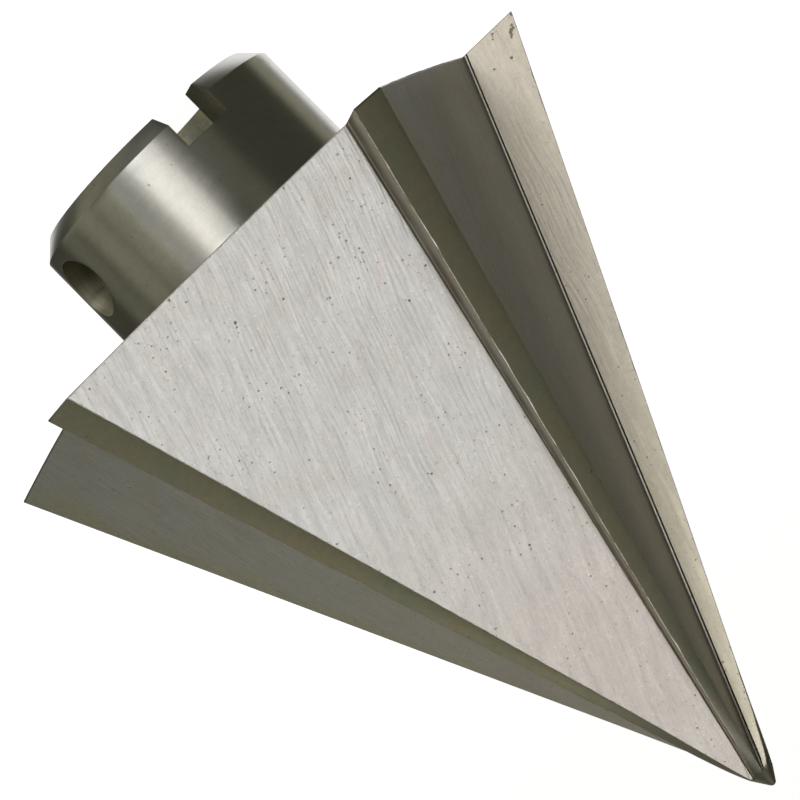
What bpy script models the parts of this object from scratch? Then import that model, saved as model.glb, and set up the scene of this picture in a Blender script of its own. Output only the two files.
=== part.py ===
"""Pipe reamer cone: a five-flute deburring cone and its short hub, machined from one steel bar.

Metres, +Z up along the axis with the tip uppermost. The origin is the centre of the arm
socket's floor, so the hub's rear face lies one socket depth below it. The drive slot runs
along Y and the cross pin's hole along X.
"""

import math

import bmesh
import bpy
from mathutils import Vector

# Cone
BASE_DIAMETER = 0.0610
CONE_HALF_ANGLE = math.radians(26.0)
TIP_RADIUS = 0.00035

# Flutes, sized at the cone's base, where each one is widest
FLUTES = 5
FIRST_EDGE_AZIMUTH = math.radians(13.0)
FACE_WIDTH = 0.00562
RAKE = math.radians(14.4)
LAND_WIDTH = 0.00335
ROOT_FILLET = 0.0005
ROOT_FILLET_STEPS = 4

# Where a flute runs out near the tip: below the cone's sharp apex, and round from its edge
RUNOUT_BELOW_APEX = 0.0021
RUNOUT_TURN = math.radians(92.0)

# Hub
HUB_DIAMETER = 0.0254
HUB_LENGTH = 0.0129
HUB_CHAMFER = 0.0015
SOCKET_DIAMETER = 0.0177
SOCKET_DEPTH = 0.0220
SLOT_WIDTH = 0.00465
SLOT_DEPTH = 0.0039
PIN_HOLE_DIAMETER = 0.0059
PIN_HOLE_FROM_REAR = 0.0056

# Heights that follow from the sizes above
BASE_RADIUS = BASE_DIAMETER / 2
REAR_Z = -SOCKET_DEPTH
BASE_Z = REAR_Z + HUB_LENGTH
APEX_Z = BASE_Z + BASE_RADIUS / math.tan(CONE_HALF_ANGLE)
RUNOUT_Z = APEX_Z - RUNOUT_BELOW_APEX

# How finely the round surfaces are cut into flats, and how far cutters run past the metal
TURNED_SIDES = 128
TIP_STEPS = 4
PIN_HOLE_SIDES = 48
OVERRUN = 0.002


def clear_scene():
    for obj in list(bpy.data.objects):
        bpy.data.objects.remove(obj, do_unlink=True)


def steel():
    """Bare machined steel, warm grey."""
    material = bpy.data.materials.new("machined_steel")
    material.use_nodes = True
    shader = material.node_tree.nodes["Principled BSDF"]
    shader.inputs["Base Color"].default_value = (0.50, 0.48, 0.44, 1.0)
    shader.inputs["Metallic"].default_value = 1.0
    shader.inputs["Roughness"].default_value = 0.38
    return material


def object_from(bm, name):
    """Closes a bmesh into an object of the scene, with its faces pointing out."""
    bmesh.ops.recalc_face_normals(bm, faces=bm.faces)
    mesh = bpy.data.meshes.new(name)
    bm.to_mesh(mesh)
    bm.free()
    obj = bpy.data.objects.new(name, mesh)
    bpy.context.scene.collection.objects.link(obj)
    return obj


def cutter_from(bm, name):
    """An object that only cuts: it stays out of the render and shows as a wire."""
    obj = object_from(bm, name)
    obj.hide_render = True
    obj.display_type = "WIRE"
    return obj


def cut(body, cutter):
    boolean = body.modifiers.new(cutter.name, "BOOLEAN")
    boolean.operation = "DIFFERENCE"
    boolean.solver = "EXACT"
    boolean.object = cutter


def polar(radius, azimuth, z):
    return Vector((radius * math.cos(azimuth), radius * math.sin(azimuth), z))


def tip_profile():
    """Radius and height down to the tip's top, along the ball that rounds the sharp apex."""
    centre_z = APEX_Z - TIP_RADIUS / math.sin(CONE_HALF_ANGLE)
    points = []
    for step in range(TIP_STEPS + 1):
        share = step / TIP_STEPS
        slope = CONE_HALF_ANGLE + share * (math.pi / 2 - CONE_HALF_ANGLE)
        points.append((TIP_RADIUS * math.cos(slope), centre_z + TIP_RADIUS * math.sin(slope)))
    return points


def turned_blank():
    """The lathe work: cone, base face, hub with its rear chamfer, and the blind arm socket."""
    socket_radius = SOCKET_DIAMETER / 2
    hub_radius = HUB_DIAMETER / 2
    profile = [
        (0.0, 0.0),
        (socket_radius, 0.0),
        (socket_radius, REAR_Z),
        (hub_radius - HUB_CHAMFER, REAR_Z),
        (hub_radius, REAR_Z + HUB_CHAMFER),
        (hub_radius, BASE_Z),
        (BASE_RADIUS, BASE_Z),
        *tip_profile(),
    ]
    bm = bmesh.new()
    verts = [bm.verts.new((radius, 0.0, z)) for radius, z in profile]
    edges = [bm.edges.new(pair) for pair in zip(verts, verts[1:])]
    bmesh.ops.spin(
        bm,
        geom=verts + edges,
        axis=(0.0, 0.0, 1.0),
        cent=(0.0, 0.0, 0.0),
        angle=2 * math.pi,
        steps=TURNED_SIDES,
    )
    bmesh.ops.remove_doubles(bm, verts=bm.verts, dist=1e-6)
    return object_from(bm, "reamer_cone")


def rounded_corner(before, corner, after, radius, steps):
    """Points of the arc that rounds a corner between the directions before and after."""
    opening = before.angle(after)
    reach = radius / math.tan(opening / 2)
    centre = corner + (before + after).normalized() * radius / math.sin(opening / 2)
    start = corner + before * reach - centre
    end = corner + after * reach - centre
    sweep = start.angle(end)
    points = []
    for step in range(steps + 1):
        turn = sweep * step / steps
        arc = start * math.sin(sweep - turn) + end * math.sin(turn)
        points.append(centre + arc / math.sin(sweep))
    return points


def flute_section(edge_azimuth):
    """Outline that the flute cutter removes in the base plane, and the flute's root there.

    The cutting face goes from the edge down to the root, leaning back by the rake. The
    wide wall goes from the root up to the land of the next blade.
    """
    outward = edge_azimuth + RAKE
    edge = polar(BASE_RADIUS, edge_azimuth, BASE_Z)
    root = edge - polar(FACE_WIDTH, outward, 0.0)
    pitch = 2 * math.pi / FLUTES
    land = LAND_WIDTH / BASE_RADIUS
    wall_top = polar(BASE_RADIUS, edge_azimuth + pitch - land, BASE_Z)
    face_way = (edge - root).normalized()
    wall_way = (wall_top - root).normalized()
    beyond = polar(1.5 * BASE_RADIUS, edge_azimuth + pitch / 2, BASE_Z)
    margin = BASE_RADIUS / 4
    outline = rounded_corner(wall_way, root, face_way, ROOT_FILLET, ROOT_FILLET_STEPS)
    outline += [edge + face_way * margin, beyond, wall_top + wall_way * margin]
    return outline, root


def flute_cutter(number):
    """The section carried along the straight path that the mill takes from base to tip."""
    edge_azimuth = FIRST_EDGE_AZIMUTH + number * 2 * math.pi / FLUTES
    outline, root = flute_section(edge_azimuth)
    runout_radius = RUNOUT_BELOW_APEX * math.tan(CONE_HALF_ANGLE)
    runout = polar(runout_radius, edge_azimuth + RUNOUT_TURN, RUNOUT_Z)
    path = (runout - root) / (RUNOUT_Z - BASE_Z)
    start = -OVERRUN
    length = APEX_Z - BASE_Z + 2 * OVERRUN
    bm = bmesh.new()
    face = bm.faces.new([bm.verts.new(point + path * start) for point in outline])
    made = bmesh.ops.extrude_face_region(bm, geom=[face])["geom"]
    top = [item for item in made if isinstance(item, bmesh.types.BMVert)]
    bmesh.ops.translate(bm, verts=top, vec=path * length)
    return cutter_from(bm, f"flute_cutter_{number + 1}")


def slot_cutter():
    """A bar across the hub's rear face, along Y."""
    bm = bmesh.new()
    bmesh.ops.create_cube(bm, size=1.0)
    size = (SLOT_WIDTH, HUB_DIAMETER + 2 * OVERRUN, SLOT_DEPTH + OVERRUN)
    bmesh.ops.scale(bm, verts=bm.verts, vec=size)
    bmesh.ops.translate(bm, verts=bm.verts, vec=(0.0, 0.0, REAR_Z + (SLOT_DEPTH - OVERRUN) / 2))
    return cutter_from(bm, "slot_cutter")


def pin_hole_cutter():
    """A drill through both walls of the hub, along X."""
    bm = bmesh.new()
    bmesh.ops.create_cone(
        bm,
        cap_ends=True,
        segments=PIN_HOLE_SIDES,
        radius1=PIN_HOLE_DIAMETER / 2,
        radius2=PIN_HOLE_DIAMETER / 2,
        depth=HUB_DIAMETER + 2 * OVERRUN,
    )
    cutter = cutter_from(bm, "pin_hole_cutter")
    cutter.rotation_euler = (0.0, math.pi / 2, 0.0)
    cutter.location = (0.0, 0.0, REAR_Z + PIN_HOLE_FROM_REAR)
    return cutter


def main():
    clear_scene()
    cone = turned_blank()
    cone.data.materials.append(steel())
    for number in range(FLUTES):
        cut(cone, flute_cutter(number))
    cut(cone, slot_cutter())
    cut(cone, pin_hole_cutter())
    cone.data.shade_smooth()
    cone.data.set_sharp_from_angle(angle=math.radians(20))


main()
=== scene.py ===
"""Looks of the pipe reamer cone: its ground flutes, turned hub and bores, in bare machined steel.

Metres, in the CAD's frame: +Z runs up the axis to the tip, and the origin is the centre of the
arm socket's floor. One finely modelled piece stands for the CAD solid and keeps its sizes.
"""

import math

import bmesh
import bpy
import numpy as np
from mathutils import Matrix, Vector


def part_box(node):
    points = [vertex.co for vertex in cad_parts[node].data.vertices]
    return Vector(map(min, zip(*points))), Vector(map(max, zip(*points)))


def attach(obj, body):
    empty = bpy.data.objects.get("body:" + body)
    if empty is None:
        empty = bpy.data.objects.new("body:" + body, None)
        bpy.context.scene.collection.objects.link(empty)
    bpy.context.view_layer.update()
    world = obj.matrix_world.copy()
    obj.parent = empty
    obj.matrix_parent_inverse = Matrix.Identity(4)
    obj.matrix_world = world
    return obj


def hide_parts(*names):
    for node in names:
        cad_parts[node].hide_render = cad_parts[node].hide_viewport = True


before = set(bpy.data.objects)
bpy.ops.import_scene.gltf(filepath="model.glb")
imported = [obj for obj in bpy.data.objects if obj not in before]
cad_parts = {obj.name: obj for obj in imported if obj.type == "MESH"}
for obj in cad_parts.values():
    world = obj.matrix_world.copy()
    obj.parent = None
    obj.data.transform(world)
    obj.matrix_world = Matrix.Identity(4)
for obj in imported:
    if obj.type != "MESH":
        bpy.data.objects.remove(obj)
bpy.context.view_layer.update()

# Cone
BASE_DIAMETER = 0.0610
CONE_HALF_ANGLE = math.radians(26.0)
TIP_RADIUS = 0.00035

# Flutes, sized at the cone's base
FLUTES = 5
FIRST_EDGE_AZIMUTH = math.radians(13.0)
FACE_WIDTH = 0.00562
RAKE = math.radians(14.4)
LAND_WIDTH = 0.00335
RUNOUT_BELOW_APEX = 0.0021
RUNOUT_TURN = math.radians(92.0)

# Hub
HUB_DIAMETER = 0.0254
HUB_LENGTH = 0.0129
HUB_CHAMFER = 0.0015
SOCKET_DIAMETER = 0.0177
SLOT_WIDTH = 0.00465
SLOT_DEPTH = 0.0039
PIN_HOLE_DIAMETER = 0.0059
PIN_HOLE_FROM_REAR = 0.0056

# Corners, as far as each one reaches along the faces beside it
CUTTING_EDGE_REACH = 0.00006
HEEL_REACH = 0.00005
BASE_RIM_BREAK = 0.00013
HUB_EDGE_BREAK = 0.00008

# The base face leans a little to the rear: its slope inwards from the rim, and its most
BASE_TAPER = math.radians(1.5)
BASE_SAG = 0.00020

# Narrow step that the cutter's corner left along a flute's root, and the groove beside it
STEP_WIDTH = 0.00018
STEP_REACH = 0.00003
GROOVE_WIDTH = 0.00016
GROOVE_DEPTH = 0.00009

# Worn nose: how much fuller than the plain cone, over what length, and the ball at its end
NOSE_BULGE = 0.00026
NOSE_LENGTH = 0.013
NOSE_BALL_RADIUS = 0.00037
NOSE_HALF_ANGLE = math.radians(32.0)

# Nicks along each cutting edge, and one longer spot worn bright: its flute, height and size
NICKS = 9
NICK_REACH = 0.00011
WORN_FLUTE = 1
WORN_SPOT_Z = 0.0031
WORN_SPOT_LENGTH = 0.0007
WORN_SPOT_REACH = 0.00014

# Heights that follow from the sizes above and the frame
REAR_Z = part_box("reamer_cone")[0].z
BASE_RADIUS = BASE_DIAMETER / 2
BASE_Z = REAR_Z + HUB_LENGTH
APEX_Z = BASE_Z + BASE_RADIUS / math.tan(CONE_HALF_ANGLE)
RUNOUT_Z = APEX_Z - RUNOUT_BELOW_APEX
JUNCTION_Z = BASE_Z - BASE_SAG
PITCH = 2 * math.pi / FLUTES
PIN_HOLE_Z = REAR_Z + PIN_HOLE_FROM_REAR

# How finely the surfaces are cut
ROW_HEIGHT = 0.0004
LAND_STEPS = 11
FACE_STEPS = 13
WALL_STEPS = 41
CORNER_STEPS = 4
TIP_STEPS = 6
HUB_SIDES = 240
HUB_ROW_HEIGHT = 0.0005
PIN_HOLE_SIDES = 96
OVERRUN = 0.002
MERGE_DISTANCE = 2e-6

# Close rows at the rim, as shares of its break: their heights, and how far the lowest lie inwards
RIM_HEIGHTS = (0.3, 1.0, 1.6)
RIM_INSETS = (1.0, 0.35)

# Rows at the rim: those of the walls that are worn bright, and those that lean with the base
RIM_ROWS = 2
TAPERED_ROWS = 1 + len(RIM_HEIGHTS)

# The most of a narrow face's width that a corner takes, and that the step and groove take
CORNER_SHARE = 0.3
GROOVE_SHARE = 0.4

# Turn between two faces above which their edge stays sharp, and above which a hub edge is broken
SHARP_ANGLE = math.radians(30.0)
BREAK_ANGLE = math.radians(25.0)

# Slots of the piece, in order
LAND, FACE, ROOT, STEP, WALL, EDGE, BASE, HUB, BORE, PIN_HOLE, DRIVE_SLOT = range(11)

# Map of the flutes' flat faces, in metres along the root and away from it: how far apart the
# flutes lie, the share of that where a flute's middle is taken, and the cutting faces' shift
GRAIN_MAP = "grain"
FLUTE_SHIFT = 0.1
FLUTE_MIDDLE = 0.2
FACE_SHIFT = 1.0

# Finish of the ground faces: how far the grinding lines turn from the root's path
WALL_LAY = math.radians(7.0)
FACE_LAY = math.radians(4.0)

# Dark colour of marks and of painted shade; flutes whose cutting face and wall get no painted shade;
# width of the walls' shaded seam
MARKS_AND_SHADE = (0.075, 0.065, 0.045)
UNSHADED_FACE = 0
UNSHADED_WALL = 1
WALL_SEAM = 0.0016

# Marks on the two faces turned to the camera: place on the grain map and radius, in metres
WALL_MARKS = [
    (0.1085, 0.01626, 0.00017),
    (0.1089, 0.01637, 0.00012),
    (0.1091, 0.01189, 0.00013),
    (0.1038, 0.00198, 0.00012),
    (0.1091, 0.00439, 0.00011),
    (0.1074, 0.00527, 0.00009),
    (0.1151, 0.00317, 0.00013),
    (0.1149, 0.00342, 0.00009),
    (0.1134, 0.00052, 0.00012),
    (0.1283, 0.00922, 0.00014),
    (0.1281, 0.00945, 0.00009),
    (0.1281, 0.00234, 0.00010),
    (0.1380, 0.00549, 0.00012),
]
FACE_MARKS = [
    (0.99913, 0.00479, 0.00015),
    (0.99940, 0.00482, 0.00018),
    (0.99950, 0.00458, 0.00021),
    (0.99967, 0.00446, 0.00020),
    (0.99991, 0.00446, 0.00017),
    (1.00011, 0.00438, 0.00013),
    (0.99826, 0.00515, 0.00022),
    (0.99925, 0.00529, 0.00015),
    (0.99920, 0.00293, 0.00011),
    (0.99940, 0.00289, 0.00009),
    (0.99960, 0.00284, 0.00010),
    (1.00170, 0.00370, 0.00017),
    (1.00200, 0.00197, 0.00012),
]

# Nose: where its dullness starts and is full, and how dark and rough it gets
DULL_FROM_Z = 0.034
DULL_FULL_Z = 0.050
DULL_SHARE = 0.40
DULL_ROUGHNESS = 0.25

# Photograph's camera
CAMERA_AIM = Vector((0.00027, 0.00011, 0.00816))
CAMERA_AZIMUTH = math.radians(112.54)
CAMERA_ELEVATION = math.radians(4.61)
CAMERA_DISTANCE = 0.7474
CAMERA_ROLL = math.radians(135.36)
CAMERA_LENS_MM = 402.06

# Studio
SOFTBOX_DISTANCE = 0.95
LAMP_COLOUR = (1.0, 0.99, 0.98)
WARM = (1.0, 0.98, 0.74)
CREAM = (1.0, 0.99, 0.86)
ROOM_COLOUR = (0.046, 0.045, 0.034)

# White patch that the metal mirrors: turn from the camera, elevation and reach, in degrees,
# and the share of the reach that is fully white
BACKDROP_TURN = 192
BACKDROP_ELEVATION = -21
BACKDROP_REACH = 31
BACKDROP_FULL_SHARE = 0.6

# Floor, and how white the camera sees it
FLOOR_RADIUS = 6.0
FLOOR_COLOUR = (0.8, 0.8, 0.8)
FLOOR_LIFT = 0.96


def spaced(steps):
    """Shares strictly between 0 and 1 that crowd towards both ends, so flats stay flat there."""
    return [(1 - math.cos(math.pi * step / steps)) / 2 for step in range(1, steps)]


def rounded(before, corner, after, reach, steps):
    """Columns of the curve that rounds a corner off, from reach before it to reach after it."""
    start = corner + before * reach
    end = corner + after * reach
    shares = [step / steps for step in range(steps + 1)]
    return [(1 - t) ** 2 * start + 2 * t * (1 - t) * corner + t**2 * end for t in shares]


def between(start, end, shares):
    return [start + (end - start) * share for share in shares]


def unit(vectors):
    return vectors / np.linalg.norm(vectors, axis=-1, keepdims=True)


def polar(radius, azimuth):
    return np.stack([radius * np.cos(azimuth), radius * np.sin(azimuth)], axis=-1)


def reach_to_circle(start, way, radius):
    """How far from start, going one way in the section's plane, each row's circle lies."""
    along = start @ way
    return -along + np.sqrt(along**2 - (start**2).sum(axis=1) + radius**2)


def flute_lines():
    """The root's path from base to runout, and the ways of the cutting face and the wall.

    They are those of a flute whose cutting edge is at azimuth 0 in the base plane.
    """
    edge = polar(BASE_RADIUS, 0.0)
    root = edge - polar(FACE_WIDTH, RAKE)
    wall_top = polar(BASE_RADIUS, PITCH - LAND_WIDTH / BASE_RADIUS)
    runout = polar(RUNOUT_BELOW_APEX * math.tan(CONE_HALF_ANGLE), RUNOUT_TURN)
    return root, runout, unit(edge - root), unit(wall_top - root)


def land_columns(start, end, radius, steps):
    """Columns along the cone's own surface between two azimuths, without its ends."""
    shares = [step / steps for step in range(1, steps)]
    return [polar(radius, start + (end - start) * share) for share in shares]


def cone_radius(heights):
    """The plain cone's radius, made fuller towards the worn nose."""
    plain = (APEX_Z - heights) * math.tan(CONE_HALF_ANGLE)
    near = np.clip(1 - (RUNOUT_Z - heights) / NOSE_LENGTH, 0.0, 1.0)
    return plain + NOSE_BULGE * near**2


def edge_wear(heights, number):
    """How far the rounding of one cutting edge reaches at each height, with its nicks."""
    chance = np.random.default_rng(number + 3)
    reach = np.full(len(heights), CUTTING_EDGE_REACH)
    for _ in range(NICKS):
        centre = chance.uniform(BASE_Z, RUNOUT_Z)
        length = chance.uniform(1.0, 2.5) * ROW_HEIGHT
        depth = chance.uniform(0.2, 1.0) * NICK_REACH
        reach += depth * np.exp(-(((heights - centre) / length) ** 2))
    if number == WORN_FLUTE:
        reach += WORN_SPOT_REACH * np.exp(-(((heights - WORN_SPOT_Z) / WORN_SPOT_LENGTH) ** 4))
    return reach


def root_columns(root, face_way, wall_way, size):
    """Columns of the groove and step between the cutting face and the wall.

    The step lies parallel to the cutting face. Size shrinks both where the flute runs out.
    """
    outward = np.array([-face_way[1], face_way[0]])
    groove_end = root + face_way * (STEP_WIDTH + GROOVE_WIDTH) * size
    groove_mid = root + face_way * (STEP_WIDTH + 0.6 * GROOVE_WIDTH) * size
    groove = groove_mid - outward * GROOVE_DEPTH * size
    step_start = root + face_way * STEP_WIDTH * size
    step_end = root + face_way * STEP_REACH * size
    wall_start = root + wall_way * STEP_REACH * size
    corner = [step_end, (step_end + wall_start + root) / 3, wall_start]
    return [groove_end, groove, step_start], corner


def pitch_columns(heights, number):
    """Columns of one pitch, from the last flute's heel to this one's, and each gap's slot."""
    root0, runout, face_way, wall_way = flute_lines()
    share = ((heights - BASE_Z) / (RUNOUT_Z - BASE_Z))[:, None]
    root = root0 + (runout - root0) * share
    radius = cone_radius(heights)
    face_width = np.maximum(reach_to_circle(root, face_way, radius), 0.0)[:, None]
    wall_width = np.maximum(reach_to_circle(root, wall_way, radius), 0.0)[:, None]
    edge = root + face_way * face_width
    next_heel = root + wall_way * wall_width
    turn_back = np.array([[math.cos(PITCH), math.sin(PITCH)], [-math.sin(PITCH), math.cos(PITCH)]])
    heel = next_heel @ turn_back.T
    last_wall_way = wall_way @ turn_back.T
    heel_azimuth = np.arctan2(heel[:, 1], heel[:, 0])
    edge_azimuth = np.arctan2(edge[:, 1], edge[:, 0])
    land = (edge_azimuth - heel_azimuth) * radius
    along_land = unit(edge - heel)
    worn = edge_wear(heights, number)[:, None]
    heel_reach = np.minimum(HEEL_REACH, CORNER_SHARE * np.minimum(land[:, None], wall_width))
    edge_reach = np.minimum(worn, CORNER_SHARE * np.minimum(land[:, None], face_width))
    size = np.minimum(1.0, GROOVE_SHARE * face_width / (STEP_WIDTH + GROOVE_WIDTH))
    groove, corner = root_columns(root, face_way, wall_way, size)
    trim_heel = heel_azimuth + heel_reach[:, 0] / radius
    trim_edge = edge_azimuth - edge_reach[:, 0] / radius
    columns = []
    slots = []

    def add(points, slot, last_slot=None):
        columns.extend(points)
        slots.extend([slot] * (len(points) - 1) + [slot if last_slot is None else last_slot])

    add(rounded(-last_wall_way, heel, along_land, heel_reach, CORNER_STEPS), EDGE, LAND)
    add(land_columns(trim_heel, trim_edge, radius, LAND_STEPS), LAND)
    add(rounded(-along_land, edge, -face_way, edge_reach, CORNER_STEPS), EDGE, FACE)
    add(between(edge - face_way * edge_reach, groove[0], spaced(FACE_STEPS)), FACE)
    add(groove, ROOT, STEP)
    add(corner, ROOT, WALL)
    add(between(corner[-1], next_heel - wall_way * heel_reach, spaced(WALL_STEPS)), WALL)
    return np.stack(columns, axis=1), slots


def grain_map(points, heights, across):
    """Distances of a pitch's columns along and away from the root, in one flat face's plane."""
    root, runout, face_way, wall_way = flute_lines()
    path = unit(np.array([*(runout - root), RUNOUT_Z - BASE_Z]))
    side = np.array([*across, 0.0])
    side = unit(side - path * (side @ path))
    level = np.repeat((heights - BASE_Z)[:, None, None], points.shape[1], axis=1)
    apart = np.concatenate([points - root, level], axis=2)
    return np.stack([apart @ path, apart @ side], axis=-1)


def turned(points, angle):
    """Section points turned about the axis."""
    cos = math.cos(angle)
    sin = math.sin(angle)
    return points @ np.array([[cos, sin], [-sin, cos]])


def row_heights():
    """Heights of the cone's rows, with a few close ones where the rim is broken."""
    rows = round((RUNOUT_Z - BASE_Z) / ROW_HEIGHT)
    even = np.linspace(BASE_Z, RUNOUT_Z, rows + 1)
    near_rim = BASE_Z + BASE_RIM_BREAK * np.array(RIM_HEIGHTS)
    return np.concatenate([even[:1], near_rim, even[1:]])


def outline_inset(points, depth):
    """A closed section outline moved inwards by a small depth."""
    ahead = np.roll(points, -1, axis=0) - points
    behind = points - np.roll(points, 1, axis=0)
    way = unit(unit(ahead) + unit(behind))
    return points + np.stack([-way[:, 1], way[:, 0]], axis=1) * depth


def tip_rows():
    """Radii and heights of the worn nose above the flutes, down to the ball that ends it."""
    top = APEX_Z - TIP_RADIUS / math.sin(CONE_HALF_ANGLE) + TIP_RADIUS
    centre = top - NOSE_BALL_RADIUS
    start = float(cone_radius(RUNOUT_Z))
    end = NOSE_BALL_RADIUS * math.cos(NOSE_HALF_ANGLE)
    end_z = centre + NOSE_BALL_RADIUS * math.sin(NOSE_HALF_ANGLE)
    rows = []
    for step in range(1, TIP_STEPS + 1):
        share = step / TIP_STEPS
        rows.append((start + (end - start) * share, RUNOUT_Z + (end_z - RUNOUT_Z) * share))
    for step in range(1, TIP_STEPS):
        slope = NOSE_HALF_ANGLE + step / TIP_STEPS * (math.pi / 2 - NOSE_HALF_ANGLE)
        height = centre + NOSE_BALL_RADIUS * math.sin(slope)
        rows.append((NOSE_BALL_RADIUS * math.cos(slope), height))
    return rows, top


def taper_base(sections, heights):
    """Carries the lowest rows back along the flutes, more near the hub.

    Gives every point's height, row by row.
    """
    levels = np.repeat(heights[:, None], sections.shape[1], axis=1)
    apart = np.hypot(sections[0, :, 0], sections[0, :, 1]) - BASE_RADIUS
    shift = np.maximum(apart * math.tan(BASE_TAPER), -BASE_SAG)
    way = (sections[TAPERED_ROWS] - sections[0]) / (heights[TAPERED_ROWS] - heights[0])
    sections[:TAPERED_ROWS] += way * shift[:, None]
    levels[:TAPERED_ROWS] += shift
    return levels


def fluted_cone():
    """The cone as a bmesh, open only where the hub joins its base face."""
    heights = row_heights()
    face_way, wall_way = flute_lines()[2:]
    sections = []
    charts = []
    for number in range(FLUTES):
        pitch, slots = pitch_columns(heights, number)
        sections.append(turned(pitch, FIRST_EDGE_AZIMUTH + number * PITCH))
        wall_chart = grain_map(pitch, heights, wall_way)
        face_chart = grain_map(pitch, heights, face_way)
        shift = np.array([number * FLUTE_SHIFT, 0.0])
        charts.append((wall_chart + shift, face_chart + shift + (FACE_SHIFT, 0.0)))
    sections = np.concatenate(sections, axis=1)
    wall_chart = np.concatenate([chart[0] for chart in charts], axis=1)
    face_chart = np.concatenate([chart[1] for chart in charts], axis=1)
    slots = slots * FLUTES
    levels = taper_base(sections, heights)
    for row, share in enumerate(RIM_INSETS):
        sections[row] = outline_inset(sections[row], BASE_RIM_BREAK * share)
    azimuths = np.arctan2(sections[-1, :, 1], sections[-1, :, 0])
    cone_rows, top_z = tip_rows()
    rings = list(zip(sections, levels))
    rings += [(polar(radius, azimuths), np.full(len(azimuths), z)) for radius, z in cone_rows]
    bm = bmesh.new()
    grain = bm.loops.layers.uv.new(GRAIN_MAP)
    verts = [[bm.verts.new((*at, z)) for at, z in zip(ring, level)] for ring, level in rings]
    count = len(slots)
    for row, (lower, upper) in enumerate(zip(verts, verts[1:])):
        for column in range(count):
            after = (column + 1) % count
            face = bm.faces.new([lower[column], lower[after], upper[after], upper[column]])
            if row >= len(heights) - 1:
                face.material_index = LAND
                continue
            worn_rim = row < RIM_ROWS and slots[column] == WALL
            face.material_index = EDGE if worn_rim else slots[column]
            chart = wall_chart if slots[column] == WALL else face_chart
            near, far = chart[row], chart[row + 1]
            for loop, place in zip(face.loops, (near[column], near[after], far[after], far[column])):
                loop[grain].uv = place
    top = bm.verts.new((0.0, 0.0, top_z))
    for column in range(count):
        face = bm.faces.new([verts[-1][column], verts[-1][(column + 1) % count], top])
        face.material_index = LAND
    add_base_face(bm, verts[0])
    bmesh.ops.remove_doubles(bm, verts=bm.verts, dist=MERGE_DISTANCE)
    bmesh.ops.dissolve_degenerate(bm, edges=bm.edges, dist=1e-7)
    return bm


def hub_ring(bm):
    """The circle where the hub meets the base face."""
    azimuths = [2 * math.pi * side / HUB_SIDES for side in range(HUB_SIDES)]
    ring = [polar(HUB_DIAMETER / 2, azimuth) for azimuth in azimuths]
    return [bm.verts.new((x, y, JUNCTION_Z)) for x, y in ring]


def add_base_face(bm, outline):
    """Fills the base between the cone's outline and the hub's circle."""
    inner = hub_ring(bm)
    edges = []
    for loop in (outline, inner):
        for a, b in zip(loop, loop[1:] + loop[:1]):
            edges.append(bm.edges.get((a, b)) or bm.edges.new((a, b)))
    filled = bmesh.ops.triangle_fill(bm, use_beauty=True, edges=edges, normal=(0, 0, -1))["geom"]
    for item in filled:
        if isinstance(item, bmesh.types.BMFace):
            item.material_index = BASE


def object_from(bm, name):
    mesh = bpy.data.meshes.new(name)
    bmesh.ops.recalc_face_normals(bm, faces=bm.faces)
    bm.to_mesh(mesh)
    bm.free()
    obj = bpy.data.objects.new(name, mesh)
    bpy.context.scene.collection.objects.link(obj)
    return obj


def hub_rows():
    """Heights that cut the hub's round wall into low rows, so its cuts shade cleanly."""
    start = REAR_Z + HUB_CHAMFER
    rows = round((JUNCTION_Z - start) / HUB_ROW_HEIGHT)
    return np.linspace(start, JUNCTION_Z, rows + 1)


def hub_blank():
    """The hub and the socket inside it, closed by a lid above the base plane."""
    socket_radius = SOCKET_DIAMETER / 2
    hub_radius = HUB_DIAMETER / 2
    lid_z = OVERRUN
    profile = [
        (0.0, 0.0, BORE),
        (socket_radius, 0.0, BORE),
        (socket_radius, REAR_Z, HUB),
        (hub_radius - HUB_CHAMFER, REAR_Z, HUB),
        *[(hub_radius, z, HUB) for z in hub_rows()],
        (hub_radius, lid_z, HUB),
        (0.0, lid_z, HUB),
    ]
    bm = bmesh.new()
    rings = []
    for radius, z, slot in profile:
        if radius == 0.0:
            rings.append([bm.verts.new((0.0, 0.0, z))] * HUB_SIDES)
            continue
        azimuths = [2 * math.pi * side / HUB_SIDES for side in range(HUB_SIDES)]
        rings.append([bm.verts.new((*polar(radius, azimuth), z)) for azimuth in azimuths])
    for (lower, upper), (radius, z, slot) in zip(zip(rings, rings[1:]), profile):
        for side in range(HUB_SIDES):
            after = (side + 1) % HUB_SIDES
            corners = [lower[side], lower[after], upper[after], upper[side]]
            face = bm.faces.new(list(dict.fromkeys(corners)))
            face.material_index = slot
    return object_from(bm, "hub")


def slot_cutter():
    bm = bmesh.new()
    bmesh.ops.create_cube(bm, size=1.0)
    size = (SLOT_WIDTH, HUB_DIAMETER + 2 * OVERRUN, SLOT_DEPTH + OVERRUN)
    bmesh.ops.scale(bm, verts=bm.verts, vec=size)
    bmesh.ops.translate(bm, verts=bm.verts, vec=(0.0, 0.0, REAR_Z + (SLOT_DEPTH - OVERRUN) / 2))
    return cutter_from(bm, "slot_cutter", DRIVE_SLOT)


def pin_hole_cutter():
    bm = bmesh.new()
    bmesh.ops.create_cone(
        bm,
        cap_ends=True,
        segments=PIN_HOLE_SIDES,
        radius1=PIN_HOLE_DIAMETER / 2,
        radius2=PIN_HOLE_DIAMETER / 2,
        depth=HUB_DIAMETER + 2 * OVERRUN,
    )
    bmesh.ops.rotate(bm, verts=bm.verts, matrix=Matrix.Rotation(math.pi / 2, 3, "Y"))
    bmesh.ops.translate(bm, verts=bm.verts, vec=(0.0, 0.0, PIN_HOLE_Z))
    return cutter_from(bm, "pin_hole_cutter", PIN_HOLE)


def cutter_from(bm, name, slot):
    for face in bm.faces:
        face.material_index = slot
    return object_from(bm, name)


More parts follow.
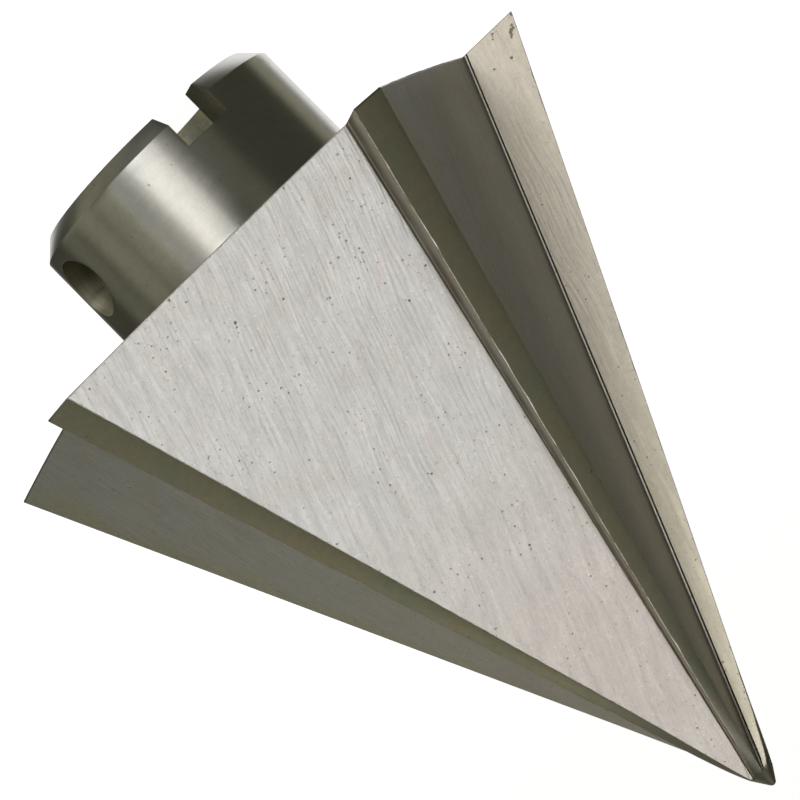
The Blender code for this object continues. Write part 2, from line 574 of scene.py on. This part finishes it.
def cut_hub(materials):
    """The hub's mesh with its slot and cross hole cut and every edge broken."""
    hub = hub_blank()
    cutters = [slot_cutter(), pin_hole_cutter()]
    for obj in (hub, *cutters):
        for material in materials:
            obj.data.materials.append(material)
    for cutter in cutters:
        boolean = hub.modifiers.new(cutter.name, "BOOLEAN")
        boolean.operation = "DIFFERENCE"
        boolean.solver = "EXACT"
        boolean.object = cutter
    bevel = hub.modifiers.new("edge_break", "BEVEL")
    bevel.width = HUB_EDGE_BREAK
    bevel.segments = 2
    bevel.limit_method = "ANGLE"
    bevel.angle_limit = BREAK_ANGLE
    bevel.use_clamp_overlap = True
    bevel.material = EDGE
    bpy.context.view_layer.update()
    graph = bpy.context.evaluated_depsgraph_get()
    mesh = bpy.data.meshes.new_from_object(hub.evaluated_get(graph))
    for obj in (hub, *cutters):
        bpy.data.objects.remove(obj)
    return mesh


def remove_lid(bm):
    """Takes off what closed the hub above the base plane."""
    margin = 1e-5
    wall = (SOCKET_DIAMETER + HUB_DIAMETER) / 4
    doomed = []
    for face in bm.faces:
        centre = face.calc_center_median()
        outside = math.hypot(centre.x, centre.y) > wall and centre.z > JUNCTION_Z + margin
        if outside or centre.z > margin:
            doomed.append(face)
    bmesh.ops.delete(bm, geom=doomed, context="FACES")


def build_piece(materials):
    hub_mesh = cut_hub(materials)
    hub = bmesh.new()
    hub.from_mesh(hub_mesh)
    remove_lid(hub)
    hub.to_mesh(hub_mesh)
    hub.free()
    bm = fluted_cone()
    bm.from_mesh(hub_mesh)
    bmesh.ops.remove_doubles(bm, verts=bm.verts, dist=MERGE_DISTANCE)
    piece = object_from(bm, "fluted_steel_cone")
    for material in materials:
        piece.data.materials.append(material)
    piece.data.shade_smooth()
    piece.data.set_sharp_from_angle(angle=SHARP_ANGLE)
    for face in piece.data.polygons:
        face.use_smooth = face.material_index != BASE
    return piece


def add(tree, kind, inputs=None, output=0, **settings):
    """Adds a shader node, sets or links its inputs by name, and gives one of its outputs."""
    node = tree.nodes.new("ShaderNode" + kind)
    for name, value in settings.items():
        setattr(node, name, value)
    for name, value in (inputs or {}).items():
        if isinstance(value, bpy.types.NodeSocket):
            tree.links.new(value, node.inputs[name])
        else:
            node.inputs[name].default_value = value
    return node.outputs[output]


def maths(tree, operation, first, second):
    return add(tree, "Math", {0: first, 1: second}, operation=operation)


def remap(tree, value, start, end, low=0.0, high=1.0):
    """Value taken smoothly from start..end to low..high, and held outside them."""
    inputs = {"Value": value, "From Min": start, "From Max": end, "To Min": low, "To Max": high}
    return add(tree, "MapRange", inputs, interpolation_type="SMOOTHSTEP")


def blend(tree, share, first, second, way="MIX"):
    inputs = {"Factor": share, "A": first, "B": second}
    return add(tree, "Mix", inputs, "Result", data_type="RGBA", blend_type=way)


def noise(tree, places, size, detail=2.0, turn=0.0):
    """Noise whose grains have a size in metres along each axis, turned about the third."""
    inputs = {"Vector": places, "Rotation": (0.0, 0.0, turn), "Scale": size}
    scaled = add(tree, "Mapping", inputs, vector_type="TEXTURE")
    return add(tree, "TexNoise", {"Vector": scaled, "Scale": 1.0, "Detail": detail})


def wavering(tree, places, reach, length):
    """Places shifted a little back and forth, so that ruled lines aren't dead straight."""
    drift = add(tree, "Mapping", {"Vector": places, "Scale": (length,) * 3}, vector_type="TEXTURE")
    drift = add(tree, "TexNoise", {"Vector": drift, "Scale": 1.0, "Detail": 1.0}, "Color")
    drift = add(tree, "VectorMath", {0: drift, 1: (0.5,) * 3}, operation="SUBTRACT")
    drift = add(tree, "VectorMath", {0: drift, 1: (reach,) * 3}, operation="MULTIPLY")
    return add(tree, "VectorMath", {0: places, 1: drift}, operation="ADD")


def pits(tree, places, spacing, share, largest, dimensions="2D"):
    """1 inside small round pits: a share of the cells, spacing apart, hold one each."""
    scaled = add(tree, "Mapping", {"Vector": places, "Scale": (spacing,) * 3}, vector_type="TEXTURE")
    settings = {"Vector": scaled, "Scale": 1.0}
    cells = add(tree, "TexVoronoi", settings, "Distance", voronoi_dimensions=dimensions)
    chance = add(tree, "SeparateColor", {"Color": cells.node.outputs["Color"]}, "Red")
    kept = add(tree, "MapRange", {"Value": chance, "From Min": 1 - share})
    radius = maths(tree, "MULTIPLY", maths(tree, "POWER", kept, 0.6), largest / spacing)
    depth = maths(tree, "SUBTRACT", radius, cells)
    return remap(tree, depth, 0.0, 0.3 * largest / spacing)


def spots(tree, places, marks):
    """1 inside round marks, each given as place along, place across and radius."""
    found = None
    for along, across, radius in marks:
        inputs = {0: places, 1: (along, across, 0.0)}
        apart = add(tree, "VectorMath", inputs, "Value", operation="DISTANCE")
        inside = remap(tree, apart, radius, 0.5 * radius)
        found = inside if found is None else maths(tree, "MAXIMUM", found, inside)
    return found


def tone(tree, parts):
    """1 plus each noise's swing about its middle, as a grey to multiply a colour by."""
    total = None
    for value, swing in parts:
        part = remap_swing(tree, value, swing)
        total = part if total is None else maths(tree, "ADD", total, part)
    return maths(tree, "ADD", total, 1.0)


def remap_swing(tree, value, swing):
    centred = maths(tree, "SUBTRACT", value, 0.5)
    return maths(tree, "MULTIPLY", centred, 2.0 * swing)


def bare_steel(name, anisotropic=0.0, axis="Z"):
    """A metal whose colour, roughness and bump come from finish. Turned steel is anisotropic."""
    material = bpy.data.materials.new(name)
    material.use_nodes = True
    tree = material.node_tree
    shader = tree.nodes["Principled BSDF"]
    shader.inputs["Metallic"].default_value = 1.0
    if anisotropic:
        tangent = add(tree, "Tangent", direction_type="RADIAL", axis=axis)
        tree.links.new(tangent, shader.inputs["Tangent"])
        shader.inputs["Anisotropic"].default_value = anisotropic
        shader.inputs["Anisotropic Rotation"].default_value = 0.25
    return material, tree, shader


def finish(tree, shader, colour, roughness, height, depth):
    tree.links.new(colour, shader.inputs["Base Color"])
    tree.links.new(roughness, shader.inputs["Roughness"])
    bump = add(tree, "Bump", {"Strength": 1.0, "Distance": depth, "Height": height}, "Normal")
    tree.links.new(bump, shader.inputs["Normal"])


def tip_dullness(tree):
    """0 on the cone's body and 1 on its nose, which is made darker and rougher."""
    places = add(tree, "TexCoord", output="Object")
    height = add(tree, "SeparateXYZ", {"Vector": places}, "Z")
    return remap(tree, height, DULL_FROM_Z, DULL_FULL_Z)


def shaded_flutes(tree, along, shift, unshaded_flute):
    """1 on the flutes that get painted shade at their root, and 0 on the one that gets none."""
    middle = shift + (unshaded_flute + FLUTE_MIDDLE) * FLUTE_SHIFT
    apart = maths(tree, "ABSOLUTE", maths(tree, "SUBTRACT", along, middle), 0.0)
    return maths(tree, "GREATER_THAN", apart, 0.5 * FLUTE_SHIFT)


def place_across(tree, places, height, width):
    """How far along a flute a place lies, and its share of a face's width from the root."""
    along, across, _ = add(tree, "SeparateXYZ", {"Vector": places}).node.outputs
    left = maths(tree, "DIVIDE", maths(tree, "SUBTRACT", APEX_Z, height), APEX_Z - BASE_Z)
    return along, maths(tree, "DIVIDE", across, maths(tree, "MULTIPLY", left, width))


def face_root_shade(tree, places, height, cloud):
    """Painted shade in two seams along the root of the cutting faces."""
    along, share = place_across(tree, places, height, FACE_WIDTH)
    seam = remap(tree, share, 0.13, 0.19, 0.75, 0.0)
    rise = remap(tree, share, 0.22, 0.30, 0.0, 0.62)
    fall = remap(tree, share, 0.36, 0.85, 1.0, 0.0)
    painted_shade = maths(tree, "MAXIMUM", seam, maths(tree, "MULTIPLY", rise, fall))
    painted_shade = maths(tree, "MULTIPLY", painted_shade, remap(tree, cloud, 0.36, 0.58, 0.7, 1.0))
    flutes = shaded_flutes(tree, along, FACE_SHIFT, UNSHADED_FACE)
    return maths(tree, "MULTIPLY", painted_shade, flutes)


def wall_root_shade(tree, places, height, cloud):
    """Painted shade: a soft dark seam along the root of the walls."""
    along, across, _ = add(tree, "SeparateXYZ", {"Vector": places}).node.outputs
    painted_shade = remap(tree, across, 0.0, WALL_SEAM, 0.5, 0.0)
    painted_shade = maths(tree, "MULTIPLY", painted_shade, remap(tree, cloud, 0.36, 0.58, 0.7, 1.0))
    flutes = shaded_flutes(tree, along, 0.0, UNSHADED_WALL)
    return maths(tree, "MULTIPLY", painted_shade, flutes)


def wall_width():
    """Width of a wall at the base, square to its root."""
    root, runout, face_way, wall_way = flute_lines()
    path = unit(np.array([*(runout - root), RUNOUT_Z - BASE_Z]))
    lean = float(path[:2] @ wall_way)
    width = reach_to_circle(root[None, :], wall_way, BASE_RADIUS)[0]
    return float(width) * math.sqrt(1 - lean**2)


def face_brown_shade(tree, places, height, cloud):
    """Painted shade, brown and patchy, on the shaded cutting faces: strongest near the root, fainter
    to the edge.
    """
    along, share = place_across(tree, places, height, FACE_WIDTH)
    shaded_band = remap(tree, share, 0.25, 0.95, 0.80, 0.0)
    shaded_band = maths(tree, "MULTIPLY", shaded_band, remap(tree, cloud, 0.42, 0.58, 0.3, 1.0))
    return maths(tree, "MULTIPLY", shaded_band, shaded_flutes(tree, along, FACE_SHIFT, UNSHADED_FACE))


def heel_shade(tree, places, height, cloud):
    """Painted shade: a faint olive band with a soft, uneven border along the heel of the walls."""
    along, share = place_across(tree, places, height, wall_width())
    uneven = add(tree, "Math", {0: cloud, 1: 0.5, 2: share}, operation="MULTIPLY_ADD")
    shaded_band = remap(tree, uneven, 1.02, 1.24)
    return maths(tree, "MULTIPLY", shaded_band, shaded_flutes(tree, along, 0.0, UNSHADED_WALL))


def ground_steel(name, warm, cool, roughness, lay, ruling, marks, seam_shade, band_shade, tint):
    """Flat faces, ground along the flute: soft lines, pits and a few marks, with painted shade near
    the root and heel.
    """
    material, tree, shader = bare_steel(name)
    flat = add(tree, "UVMap", uv_map=GRAIN_MAP)
    height = add(tree, "SeparateXYZ", {"Vector": add(tree, "TexCoord", output="Object")}, "Z")
    places = wavering(tree, flat, 0.0016, 0.010)
    ragged = wavering(tree, flat, 0.00016, 0.00013)
    fine = noise(tree, places, (0.0034, 0.00024, 1.0), 0.0, lay)
    broad = noise(tree, places, (0.0060, 0.00070, 1.0), 2.0, lay)
    long_lines = noise(tree, places, (0.0120, 0.00018, 1.0), 0.0, lay)
    mottle = noise(tree, flat, (0.0007, 0.0004, 1.0), 3.0, lay)
    grit = noise(tree, flat, (0.00020, 0.00016, 1.0), 1.0, lay)
    cloud = noise(tree, flat, (0.0045, 0.0035, 1.0), 3.0)
    patches = noise(tree, flat, (0.0035, 0.0022, 1.0), 3.0, lay)
    ruled = remap(tree, height, 0.004, 0.026, 1.0, 0.45)
    scratch = remap(tree, long_lines, 0.76, 0.88)
    pitted = pits(tree, ragged, 0.0008, 0.6, 0.00011)
    pitted = maths(tree, "MULTIPLY", pitted, remap(tree, cloud, 0.46, 0.60))
    specks = pits(tree, ragged, 0.00040, 0.35, 0.00006)
    glints = pits(tree, ragged, 0.00050, 0.25, 0.00010)
    warmth = maths(tree, "MULTIPLY", remap(tree, patches, 0.42, 0.66), 0.45)
    warmth = maths(tree, "MAXIMUM", warmth, remap(tree, height, 0.008, 0.036))
    colour = blend(tree, warmth, (*cool, 1.0), (*warm, 1.0))
    # Painted shade: a brown band near the cutting faces' root, an olive band along the walls' heel.
    colour = blend(tree, band_shade(tree, ragged, height, cloud), colour, (*tint, 1.0))
    lines = maths(tree, "SUBTRACT", tone(tree, [(fine, ruling), (broad, 0.5 * ruling)]), 1.0)
    lines = maths(tree, "MULTIPLY", lines, ruled)
    marbling = tone(tree, [(mottle, 0.13), (grit, 0.10), (cloud, 0.10)])
    colour = blend(tree, 1.0, colour, maths(tree, "ADD", lines, marbling), "MULTIPLY")
    colour = blend(tree, maths(tree, "MULTIPLY", glints, 0.5), colour, (0.86, 0.84, 0.78, 1.0))
    dark = maths(tree, "MULTIPLY", scratch, 0.25)
    dark = maths(tree, "MAXIMUM", dark, maths(tree, "MULTIPLY", pitted, 0.5))
    dark = maths(tree, "MAXIMUM", dark, maths(tree, "MULTIPLY", specks, 0.22))
    dark = maths(tree, "MAXIMUM", dark, maths(tree, "MULTIPLY", spots(tree, ragged, marks), 0.65))
    # Painted shade along the root joins the dark marks, in their colour.
    dark = maths(tree, "MAXIMUM", dark, seam_shade(tree, ragged, height, cloud))
    colour = blend(tree, dark, colour, (*MARKS_AND_SHADE, 1.0))
    rough = add(tree, "Math", {0: broad, 1: 0.16, 2: roughness - 0.08}, operation="MULTIPLY_ADD")
    rough = maths(tree, "ADD", rough, maths(tree, "MULTIPLY", dark, 0.2))
    bumps = maths(tree, "MULTIPLY", maths(tree, "ADD", fine, broad), ruled)
    bumps = maths(tree, "SUBTRACT", bumps, maths(tree, "MULTIPLY", dark, 1.0))
    finish(tree, shader, colour, rough, bumps, 0.000016)
    return material


def turned_steel(name, warm, cool, roughness, anisotropic, swing=0.06):
    """Lathe-turned faces: fine rings round the axis, a soft mottle, small pits, dull at the nose."""
    material, tree, shader = bare_steel(name, anisotropic)
    places = add(tree, "TexCoord", output="Object")
    parts = add(tree, "SeparateXYZ", {"Vector": places})
    x, y, z = parts.node.outputs
    flat = add(tree, "CombineXYZ", {"X": x, "Y": y})
    radius = add(tree, "VectorMath", {0: flat}, "Value", operation="LENGTH")
    profile = maths(tree, "SUBTRACT", z, radius)
    ringed = add(tree, "CombineXYZ", {"X": x, "Y": y, "Z": profile})
    ringed = wavering(tree, ringed, 0.0001, 0.012)
    rings = noise(tree, ringed, (0.006, 0.006, 0.00013), 1.0)
    bands = noise(tree, ringed, (0.012, 0.012, 0.00060), 2.0)
    mottle = noise(tree, places, (0.0007,) * 3, 3.0)
    grit = noise(tree, places, (0.00018,) * 3, 1.0)
    cloud = noise(tree, places, (0.0050,) * 3, 3.0)
    pitted = pits(tree, wavering(tree, places, 0.00016, 0.00013), 0.0011, 0.4, 0.00015, "3D")
    dull = tip_dullness(tree)
    colour = blend(tree, remap(tree, cloud, 0.38, 0.62), (*cool, 1.0), (*warm, 1.0))
    swings = [(rings, swing), (bands, 0.6 * swing), (mottle, 1.8 * swing), (grit, 2.0 * swing)]
    colour = blend(tree, 1.0, colour, tone(tree, swings + [(cloud, 1.2 * swing)]), "MULTIPLY")
    colour = blend(tree, maths(tree, "MULTIPLY", pitted, 0.35), colour, (*MARKS_AND_SHADE, 1.0))
    colour = blend(tree, maths(tree, "MULTIPLY", dull, DULL_SHARE), colour, (*MARKS_AND_SHADE, 1.0))
    rough = add(tree, "Math", {0: bands, 1: 0.10, 2: roughness - 0.05}, operation="MULTIPLY_ADD")
    rough = maths(tree, "ADD", rough, maths(tree, "MULTIPLY", dull, DULL_ROUGHNESS))
    height = maths(tree, "ADD", rings, maths(tree, "MULTIPLY", grit, 0.4))
    height = maths(tree, "SUBTRACT", height, maths(tree, "MULTIPLY", pitted, 1.5))
    finish(tree, shader, colour, rough, height, 0.000005)
    return material


def drilled_steel(name, colour, roughness):
    """The pin hole: rings round its own axis, and painted shade darkening its rear half."""
    material, tree, shader = bare_steel(name, 0.3, "X")
    places = add(tree, "TexCoord", output="Object")
    rings = noise(tree, places, (0.00016, 0.006, 0.006), 1.0)
    bands = noise(tree, places, (0.00050, 0.003, 0.003), 2.0)
    mottle = noise(tree, places, (0.0006,) * 3, 3.0)
    height = add(tree, "SeparateXYZ", {"Vector": places}, "Z")
    reach = PIN_HOLE_DIAMETER / 2
    # Painted shade: the hole's inside darkens towards the rear.
    painted_shade = remap(tree, height, PIN_HOLE_Z - 0.5 * reach, PIN_HOLE_Z + 0.9 * reach, 0.85, 0.0)
    tones = tone(tree, [(rings, 0.30), (bands, 0.10), (mottle, 0.15)])
    shade = blend(tree, 1.0, (*colour, 1.0), tones, "MULTIPLY")
    shade = blend(tree, painted_shade, shade, (*MARKS_AND_SHADE, 1.0))
    rough = add(tree, "Math", {0: bands, 1: 0.16, 2: roughness - 0.08}, operation="MULTIPLY_ADD")
    finish(tree, shader, shade, rough, maths(tree, "ADD", rings, bands), 0.00001)
    return material


def worn_steel(name, bright, dark, roughness, share, length):
    """Narrow bright lines, broken along their length: worn edges and the step at a root."""
    material, tree, shader = bare_steel(name)
    places = add(tree, "TexCoord", output="Object")
    along = noise(tree, places, (0.004, 0.004, length), 3.0)
    grit = noise(tree, places, (0.00025,) * 3, 2.0)
    broken = remap(tree, along, 0.5 + share, 0.62 + share)
    dull = tip_dullness(tree)
    broken = maths(tree, "MAXIMUM", broken, maths(tree, "MULTIPLY", dull, 0.8))
    colour = blend(tree, broken, (*bright, 1.0), (*dark, 1.0))
    colour = blend(tree, 1.0, colour, tone(tree, [(grit, 0.25)]), "MULTIPLY")
    rough = add(tree, "Math", {0: broken, 1: 0.2, 2: roughness}, operation="MULTIPLY_ADD")
    finish(tree, shader, colour, rough, grit, 0.000008)
    return material


def materials():
    face_warm = (0.74, 0.69, 0.555)
    face_cool = (0.74, 0.68, 0.58)
    wall_warm = (0.625, 0.580, 0.540)
    wall_cool = (0.632, 0.629, 0.607)
    face_shade_colour = (0.50, 0.42, 0.26)
    heel_shade_colour = (0.590, 0.570, 0.460)
    face_finish = (FACE_LAY, 0.02, FACE_MARKS, face_root_shade, face_brown_shade, face_shade_colour)
    wall_finish = (WALL_LAY, 0.11, WALL_MARKS, wall_root_shade, heel_shade, heel_shade_colour)
    return [
        turned_steel("land", (0.54, 0.50, 0.41), (0.51, 0.515, 0.44), 0.36, 0.6),
        ground_steel("cutting_face", face_warm, face_cool, 0.40, *face_finish),
        # The groove at the root is painted very dark: painted shade in the recess.
        worn_steel("root", (0.20, 0.18, 0.14), (0.09, 0.08, 0.06), 0.50, 0.0, 0.0020),
        worn_steel("root_step", (0.66, 0.64, 0.57), (0.16, 0.145, 0.11), 0.34, 0.16, 0.0010),
        ground_steel("wall", wall_warm, wall_cool, 0.40, *wall_finish),
        worn_steel("edge", (0.74, 0.71, 0.64), (0.45, 0.43, 0.36), 0.34, 0.0, 0.0015),
        turned_steel("base", (0.52, 0.50, 0.44), (0.50, 0.50, 0.46), 0.36, 0.6),
        turned_steel("hub", (0.71, 0.69, 0.63), (0.69, 0.69, 0.64), 0.31, 0.7, 0.05),
        turned_steel("bore", (0.56, 0.53, 0.42), (0.52, 0.52, 0.43), 0.48, 0.3, 0.12),
        drilled_steel("pin_hole", (0.92, 0.88, 0.68), 0.52),
        # The drive slot is painted darker than the hub: painted shade inside the slot.
        turned_steel("drive_slot_shaded", (0.36, 0.34, 0.27), (0.32, 0.32, 0.27), 0.40, 0.0, 0.10),
    ]


def away_from_aim(azimuth, elevation):
    """The way from the camera's aim towards a place around it."""
    level = math.cos(elevation)
    return Vector((level * math.cos(azimuth), level * math.sin(azimuth), math.sin(elevation)))


def place_camera():
    """The camera at the photograph's viewpoint, rolled so that the tip points down to the right."""
    away = away_from_aim(CAMERA_AZIMUTH, CAMERA_ELEVATION)
    camera = bpy.data.objects.new("camera", bpy.data.cameras.new("camera"))
    camera.data.lens = CAMERA_LENS_MM
    camera.rotation_mode = "QUATERNION"
    turn = away.to_track_quat("Z", "Y").to_matrix() @ Matrix.Rotation(CAMERA_ROLL, 3, "Z")
    camera.rotation_quaternion = turn.to_quaternion()
    camera.location = CAMERA_AIM + away * CAMERA_DISTANCE
    bpy.context.scene.collection.objects.link(camera)
    bpy.context.scene.camera = camera


def softbox(name, turn, elevation, width, height, radiance, colour=LAMP_COLOUR):
    """A softbox that faces the cone, turned round it in degrees from the camera."""
    away = away_from_aim(CAMERA_AZIMUTH + math.radians(turn), math.radians(elevation))
    lamp = bpy.data.lights.new(name, "AREA")
    lamp.shape = "RECTANGLE"
    lamp.size = width
    lamp.size_y = height
    lamp.energy = math.pi * width * height * radiance
    lamp.color = colour
    obj = bpy.data.objects.new(name, lamp)
    obj.rotation_mode = "QUATERNION"
    obj.rotation_quaternion = away.to_track_quat("Z", "Y")
    obj.location = CAMERA_AIM + away * SOFTBOX_DISTANCE
    obj.visible_camera = False
    bpy.context.scene.collection.objects.link(obj)


def shown_rays(tree):
    """1 for straight, mirrored and refracted rays, and 0 for those that only carry light."""
    rays = tree.nodes.new("ShaderNodeLightPath")
    seen = rays.outputs["Is Camera Ray"]
    for kind in ("Is Glossy Ray", "Is Transmission Ray"):
        seen = maths(tree, "ADD", seen, rays.outputs[kind])
    return seen


def pale_floor():
    """The floor under the hub. The low softboxes shine through it, and no metal mirrors it."""
    bm = bmesh.new()
    bmesh.ops.create_circle(bm, cap_ends=True, segments=96, radius=FLOOR_RADIUS)
    floor = object_from(bm, "floor")
    floor.location.z = REAR_Z
    floor.visible_glossy = False
    floor.visible_shadow = False
    material = bpy.data.materials.new("pale_floor")
    material.use_nodes = True
    tree = material.node_tree
    shader = tree.nodes["Principled BSDF"]
    shader.inputs["Base Color"].default_value = (*FLOOR_COLOUR, 1.0)
    shader.inputs["Roughness"].default_value = 0.9
    shader.inputs["Specular IOR Level"].default_value = 0.0
    shader.inputs["Emission Color"].default_value = (1.0, 1.0, 1.0, 1.0)
    lift = maths(tree, "MULTIPLY", shown_rays(tree), FLOOR_LIFT)
    tree.links.new(lift, shader.inputs["Emission Strength"])
    floor.data.materials.append(material)


def surroundings():
    """A dim warm room. The camera sees white all round, and the metal one white patch."""
    world = bpy.data.worlds.new("studio")
    bpy.context.scene.world = world
    world.use_nodes = True
    tree = world.node_tree
    azimuth = CAMERA_AZIMUTH + math.radians(BACKDROP_TURN)
    centre = away_from_aim(azimuth, math.radians(BACKDROP_ELEVATION))
    inputs = {0: add(tree, "TexCoord", output="Generated"), 1: centre}
    towards = add(tree, "VectorMath", inputs, "Value", operation="DOT_PRODUCT")
    edge = math.cos(math.radians(BACKDROP_REACH))
    full = math.cos(math.radians(BACKDROP_FULL_SHARE * BACKDROP_REACH))
    mirrored = maths(tree, "MULTIPLY", shown_rays(tree), remap(tree, towards, edge, full))
    white = maths(tree, "MAXIMUM", mirrored, add(tree, "LightPath", output="Is Camera Ray"))
    colour = blend(tree, white, (*ROOM_COLOUR, 1.0), (1.0, 1.0, 1.0, 1.0))
    background = tree.nodes["Background"]
    background.inputs["Strength"].default_value = 1.0
    tree.links.new(colour, background.inputs["Color"])


def studio():
    pale_floor()
    surroundings()
    softbox("front", -5.5, 22, 0.36, 0.40, 2.3)
    softbox("high_front", 0, 50, 0.36, 0.40, 1.35)
    softbox("high_right", -22, 50, 0.36, 0.40, 0.6)
    softbox("low_front", 0, -12, 0.20, 0.38, 1.2)
    softbox("low_left", 13.5, -12, 0.25, 0.38, 1.95)
    softbox("low_mid_left", 25, -12, 0.12, 0.38, 0.25)
    softbox("low_far_left", 33, -12, 0.36, 0.38, 0.42)
    softbox("low_right", -36, -12, 0.36, 0.38, 0.09, WARM)
    softbox("below", 6, -45, 0.5, 0.5, 1.5)
    softbox("left", 50, 8, 0.36, 0.6, 0.35, WARM)
    softbox("far_left", 75, 8, 0.36, 0.6, 0.22, WARM)
    softbox("left_high", 120, 45, 0.6, 0.5, 0.54, WARM)
    softbox("left_below", 90, -35, 0.7, 0.5, 0.35, WARM)
    softbox("back_left", 140, 16, 0.36, 0.38, 0.35, CREAM)
    softbox("side_left", 104, -8, 0.30, 0.3, 0.09, WARM)
    softbox("back_right", -129, -6, 0.30, 0.4, 0.21, WARM)
    softbox("right_high", -60, 45, 0.6, 0.5, 0.18, WARM)
    softbox("behind", 180, 42, 0.8, 0.36, 1.3)
    softbox("underneath", 125, -66, 0.5, 0.5, 0.16, WARM)


def main():
    piece = build_piece(materials())
    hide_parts("reamer_cone")
    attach(piece, "root")
    place_camera()
    studio()
    scene = bpy.context.scene
    scene.view_settings.view_transform = "Standard"


main()
